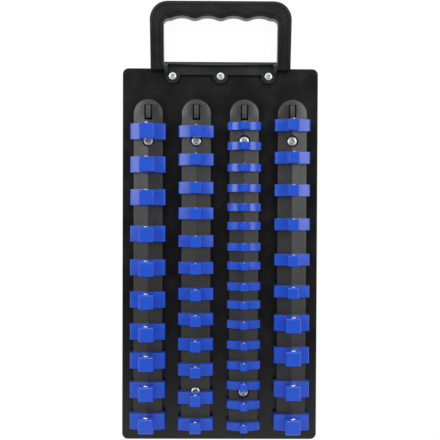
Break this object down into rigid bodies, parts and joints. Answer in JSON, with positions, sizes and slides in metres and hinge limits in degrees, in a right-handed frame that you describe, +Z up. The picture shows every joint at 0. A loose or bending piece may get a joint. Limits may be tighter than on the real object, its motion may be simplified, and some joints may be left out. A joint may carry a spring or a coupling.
{
  "type": "socket organizer tray",
  "caption": "Flat portable panel that holds loose drive sockets on square posts; the posts slide along rails, and a grooved carry handle folds at one end.",
  "frame": {"origin": "middle of the bounding box, on the surface that the panel's rim lies on", "axes": "+X across the panel, +Y along the rails towards the carry handle, +Z up out of the panel's face"},
  "size_m": [0.1678, 0.3762, 0.0391],
  "materials": {
    "panel_plastic": "black moulded plastic, satin, slightly grained",
    "rail_plastic": "dark grey moulded plastic, satin",
    "clip_plastic": "bright blue moulded plastic, semi-gloss",
    "handle_plastic": "black moulded plastic, satin",
    "screw_steel": "bright zinc-plated steel screws",
    "pin_steel": "plain steel pins"
  },
  "bodies": {
    "panel": {"panel": "panel_plastic", "rail_1": "rail_plastic", "rail_2": "rail_plastic", "rail_3": "rail_plastic", "rail_4": "rail_plastic", "rail_screws": "screw_steel", "handle_bracket": "handle_plastic", "handle_screws": "screw_steel", "hinge_pins": "pin_steel"},
    "carry_handle": {"carry_handle": "handle_plastic"},
    "half_inch_clip_01": {"half_inch_clip_01": "clip_plastic"},
    "half_inch_clip_02": {"half_inch_clip_02": "clip_plastic"},
    "half_inch_clip_03": {"half_inch_clip_03": "clip_plastic"},
    "half_inch_clip_04": {"half_inch_clip_04": "clip_plastic"},
    "half_inch_clip_05": {"half_inch_clip_05": "clip_plastic"},
    "half_inch_clip_06": {"half_inch_clip_06": "clip_plastic"},
    "half_inch_clip_07": {"half_inch_clip_07": "clip_plastic"},
    "half_inch_clip_08": {"half_inch_clip_08": "clip_plastic"},
    "half_inch_clip_09": {"half_inch_clip_09": "clip_plastic"},
    "half_inch_clip_10": {"half_inch_clip_10": "clip_plastic"},
    "half_inch_clip_11": {"half_inch_clip_11": "clip_plastic"},
    "half_inch_clip_12": {"half_inch_clip_12": "clip_plastic"},
    "half_inch_clip_13": {"half_inch_clip_13": "clip_plastic"},
    "half_inch_clip_14": {"half_inch_clip_14": "clip_plastic"},
    "quarter_inch_clip_01": {"quarter_inch_clip_01": "clip_plastic"},
    "quarter_inch_clip_02": {"quarter_inch_clip_02": "clip_plastic"},
    "quarter_inch_clip_03": {"quarter_inch_clip_03": "clip_plastic"},
    "quarter_inch_clip_04": {"quarter_inch_clip_04": "clip_plastic"},
    "quarter_inch_clip_05": {"quarter_inch_clip_05": "clip_plastic"},
    "quarter_inch_clip_06": {"quarter_inch_clip_06": "clip_plastic"},
    "quarter_inch_clip_07": {"quarter_inch_clip_07": "clip_plastic"},
    "quarter_inch_clip_08": {"quarter_inch_clip_08": "clip_plastic"},
    "quarter_inch_clip_09": {"quarter_inch_clip_09": "clip_plastic"},
    "quarter_inch_clip_10": {"quarter_inch_clip_10": "clip_plastic"},
    "quarter_inch_clip_11": {"quarter_inch_clip_11": "clip_plastic"},
    "quarter_inch_clip_12": {"quarter_inch_clip_12": "clip_plastic"},
    "quarter_inch_clip_13": {"quarter_inch_clip_13": "clip_plastic"},
    "quarter_inch_clip_14": {"quarter_inch_clip_14": "clip_plastic"},
    "quarter_inch_clip_15": {"quarter_inch_clip_15": "clip_plastic"},
    "quarter_inch_clip_16": {"quarter_inch_clip_16": "clip_plastic"},
    "three_eighth_clip_01": {"three_eighth_clip_01": "clip_plastic"},
    "three_eighth_clip_02": {"three_eighth_clip_02": "clip_plastic"},
    "three_eighth_clip_03": {"three_eighth_clip_03": "clip_plastic"},
    "three_eighth_clip_04": {"three_eighth_clip_04": "clip_plastic"},
    "three_eighth_clip_05": {"three_eighth_clip_05": "clip_plastic"},
    "three_eighth_clip_06": {"three_eighth_clip_06": "clip_plastic"},
    "three_eighth_clip_07": {"three_eighth_clip_07": "clip_plastic"},
    "three_eighth_clip_08": {"three_eighth_clip_08": "clip_plastic"},
    "three_eighth_clip_09": {"three_eighth_clip_09": "clip_plastic"},
    "three_eighth_clip_10": {"three_eighth_clip_10": "clip_plastic"},
    "three_eighth_clip_11": {"three_eighth_clip_11": "clip_plastic"},
    "three_eighth_clip_12": {"three_eighth_clip_12": "clip_plastic"},
    "three_eighth_clip_13": {"three_eighth_clip_13": "clip_plastic"},
    "three_eighth_clip_14": {"three_eighth_clip_14": "clip_plastic"},
    "three_eighth_clip_15": {"three_eighth_clip_15": "clip_plastic"},
    "three_eighth_clip_16": {"three_eighth_clip_16": "clip_plastic"},
    "three_eighth_clip_17": {"three_eighth_clip_17": "clip_plastic"},
    "three_eighth_clip_18": {"three_eighth_clip_18": "clip_plastic"}
  },
  "joints": [
    {"name": "carry_handle_fold", "type": "hinge", "parent": "panel", "child": "carry_handle", "pos_m": [0, 0.133, 0.016], "axis": [1, 0, 0], "range_deg": [0, 145]},
    {"name": "half_inch_clip_01_slide", "type": "slide", "parent": "panel", "child": "half_inch_clip_01", "axis": [0, 1, 0], "range_m": [-0.00076, 0.00643]},
    {"name": "half_inch_clip_02_slide", "type": "slide", "parent": "panel", "child": "half_inch_clip_02", "axis": [0, 1, 0], "range_m": [-0.00643, 0.00568]},
    {"name": "half_inch_clip_03_slide", "type": "slide", "parent": "panel", "child": "half_inch_clip_03", "axis": [0, 1, 0], "range_m": [-0.00568, 0.00542]},
    {"name": "half_inch_clip_04_slide", "type": "slide", "parent": "panel", "child": "half_inch_clip_04", "axis": [0, 1, 0], "range_m": [-0.00542, 0.00668]},
    {"name": "half_inch_clip_05_slide", "type": "slide", "parent": "panel", "child": "half_inch_clip_05", "axis": [0, 1, 0], "range_m": [-0.00668, 0.00681]},
    {"name": "half_inch_clip_06_slide", "type": "slide", "parent": "panel", "child": "half_inch_clip_06", "axis": [0, 1, 0], "range_m": [-0.00681, 0.00744]},
    {"name": "half_inch_clip_07_slide", "type": "slide", "parent": "panel", "child": "half_inch_clip_07", "axis": [0, 1, 0], "range_m": [-0.00744, 0.00857]},
    {"name": "half_inch_clip_08_slide", "type": "slide", "parent": "panel", "child": "half_inch_clip_08", "axis": [0, 1, 0], "range_m": [-0.00857, 0.00694]},
    {"name": "half_inch_clip_09_slide", "type": "slide", "parent": "panel", "child": "half_inch_clip_09", "axis": [0, 1, 0], "range_m": [-0.00694, 0.00706]},
    {"name": "half_inch_clip_10_slide", "type": "slide", "parent": "panel", "child": "half_inch_clip_10", "axis": [0, 1, 0], "range_m": [-0.00706, 0.00454]},
    {"name": "half_inch_clip_11_slide", "type": "slide", "parent": "panel", "child": "half_inch_clip_11", "axis": [0, 1, 0], "range_m": [0, 0.00731]},
    {"name": "half_inch_clip_12_slide", "type": "slide", "parent": "panel", "child": "half_inch_clip_12", "axis": [0, 1, 0], "range_m": [-0.00731, 0.00757]},
    {"name": "half_inch_clip_13_slide", "type": "slide", "parent": "panel", "child": "half_inch_clip_13", "axis": [0, 1, 0], "range_m": [-0.00757, 0.00694]},
    {"name": "half_inch_clip_14_slide", "type": "slide", "parent": "panel", "child": "half_inch_clip_14", "axis": [0, 1, 0], "range_m": [-0.00694, 0.00734]},
    {"name": "quarter_inch_clip_01_slide", "type": "slide", "parent": "panel", "child": "quarter_inch_clip_01", "axis": [0, 1, 0], "range_m": [0, 0.00567]},
    {"name": "quarter_inch_clip_02_slide", "type": "slide", "parent": "panel", "child": "quarter_inch_clip_02", "axis": [0, 1, 0], "range_m": [-0.00567, 0.00477]},
    {"name": "quarter_inch_clip_03_slide", "type": "slide", "parent": "panel", "child": "quarter_inch_clip_03", "axis": [0, 1, 0], "range_m": [-0.00477, 0.00516]},
    {"name": "quarter_inch_clip_04_slide", "type": "slide", "parent": "panel", "child": "quarter_inch_clip_04", "axis": [0, 1, 0], "range_m": [-0.00516, 0.00516]},
    {"name": "quarter_inch_clip_05_slide", "type": "slide", "parent": "panel", "child": "quarter_inch_clip_05", "axis": [0, 1, 0], "range_m": [-0.00516, 0.00529]},
    {"name": "quarter_inch_clip_06_slide", "type": "slide", "parent": "panel", "child": "quarter_inch_clip_06", "axis": [0, 1, 0], "range_m": [-0.00529, 0.0049]},
    {"name": "quarter_inch_clip_07_slide", "type": "slide", "parent": "panel", "child": "quarter_inch_clip_07", "axis": [0, 1, 0], "range_m": [-0.0049, 0.00425]},
    {"name": "quarter_inch_clip_08_slide", "type": "slide", "parent": "panel", "child": "quarter_inch_clip_08", "axis": [0, 1, 0], "range_m": [-0.00425, 0.00529]},
    {"name": "quarter_inch_clip_09_slide", "type": "slide", "parent": "panel", "child": "quarter_inch_clip_09", "axis": [0, 1, 0], "range_m": [-0.00529, 0.00451]},
    {"name": "quarter_inch_clip_10_slide", "type": "slide", "parent": "panel", "child": "quarter_inch_clip_10", "axis": [0, 1, 0], "range_m": [-0.00451, 0.00542]},
    {"name": "quarter_inch_clip_11_slide", "type": "slide", "parent": "panel", "child": "quarter_inch_clip_11", "axis": [0, 1, 0], "range_m": [-0.00542, 0.00438]},
    {"name": "quarter_inch_clip_12_slide", "type": "slide", "parent": "panel", "child": "quarter_inch_clip_12", "axis": [0, 1, 0], "range_m": [-0.00438, 0.00464]},
    {"name": "quarter_inch_clip_13_slide", "type": "slide", "parent": "panel", "child": "quarter_inch_clip_13", "axis": [0, 1, 0], "range_m": [-0.00464, 0.00516]},
    {"name": "quarter_inch_clip_14_slide", "type": "slide", "parent": "panel", "child": "quarter_inch_clip_14", "axis": [0, 1, 0], "range_m": [-0.00516, 0.00567]},
    {"name": "quarter_inch_clip_15_slide", "type": "slide", "parent": "panel", "child": "quarter_inch_clip_15", "axis": [0, 1, 0], "range_m": [-0.00567, 0.0049]},
    {"name": "quarter_inch_clip_16_slide", "type": "slide", "parent": "panel", "child": "quarter_inch_clip_16", "axis": [0, 1, 0], "range_m": [-0.0049, 0.00311]},
    {"name": "three_eighth_clip_01_slide", "type": "slide", "parent": "panel", "child": "three_eighth_clip_01", "axis": [0, 1, 0], "range_m": [0, 0.00618]},
    {"name": "three_eighth_clip_02_slide", "type": "slide", "parent": "panel", "child": "three_eighth_clip_02", "axis": [0, 1, 0], "range_m": [-0.00618, 0.00682]},
    {"name": "three_eighth_clip_03_slide", "type": "slide", "parent": "panel", "child": "three_eighth_clip_03", "axis": [0, 1, 0], "range_m": [-0.00682, 0.00567]},
    {"name": "three_eighth_clip_04_slide", "type": "slide", "parent": "panel", "child": "three_eighth_clip_04", "axis": [0, 1, 0], "range_m": [-0.00567, 0.00554]},
    {"name": "three_eighth_clip_05_slide", "type": "slide", "parent": "panel", "child": "three_eighth_clip_05", "axis": [0, 1, 0], "range_m": [-0.00554, 0.00554]},
    {"name": "three_eighth_clip_06_slide", "type": "slide", "parent": "panel", "child": "three_eighth_clip_06", "axis": [0, 1, 0], "range_m": [-0.00554, 0.00593]},
    {"name": "three_eighth_clip_07_slide", "type": "slide", "parent": "panel", "child": "three_eighth_clip_07", "axis": [0, 1, 0], "range_m": [-0.00593, 0.00618]},
    {"name": "three_eighth_clip_08_slide", "type": "slide", "parent": "panel", "child": "three_eighth_clip_08", "axis": [0, 1, 0], "range_m": [-0.00618, 0.00656]},
    {"name": "three_eighth_clip_09_slide", "type": "slide", "parent": "panel", "child": "three_eighth_clip_09", "axis": [0, 1, 0], "range_m": [-0.00656, 0.00567]},
    {"name": "three_eighth_clip_10_slide", "type": "slide", "parent": "panel", "child": "three_eighth_clip_10", "axis": [0, 1, 0], "range_m": [-0.00567, 0.00682]},
    {"name": "three_eighth_clip_11_slide", "type": "slide", "parent": "panel", "child": "three_eighth_clip_11", "axis": [0, 1, 0], "range_m": [-0.00682, 0.00669]},
    {"name": "three_eighth_clip_12_slide", "type": "slide", "parent": "panel", "child": "three_eighth_clip_12", "axis": [0, 1, 0], "range_m": [-0.00669, 0.00613]},
    {"name": "three_eighth_clip_13_slide", "type": "slide", "parent": "panel", "child": "three_eighth_clip_13", "axis": [0, 1, 0], "range_m": [-0.00734, 0.00835]},
    {"name": "three_eighth_clip_14_slide", "type": "slide", "parent": "panel", "child": "three_eighth_clip_14", "axis": [0, 1, 0], "range_m": [-0.00835, 0.00989]},
    {"name": "three_eighth_clip_15_slide", "type": "slide", "parent": "panel", "child": "three_eighth_clip_15", "axis": [0, 1, 0], "range_m": [-0.00989, 0.00925]},
    {"name": "three_eighth_clip_16_slide", "type": "slide", "parent": "panel", "child": "three_eighth_clip_16", "axis": [0, 1, 0], "range_m": [-0.00925, 0.00861]},
    {"name": "three_eighth_clip_17_slide", "type": "slide", "parent": "panel", "child": "three_eighth_clip_17", "axis": [0, 1, 0], "range_m": [-0.00861, 0.00861]},
    {"name": "three_eighth_clip_18_slide", "type": "slide", "parent": "panel", "child": "three_eighth_clip_18", "axis": [0, 1, 0], "range_m": [-0.00861, 0.00051]}
  ]
}
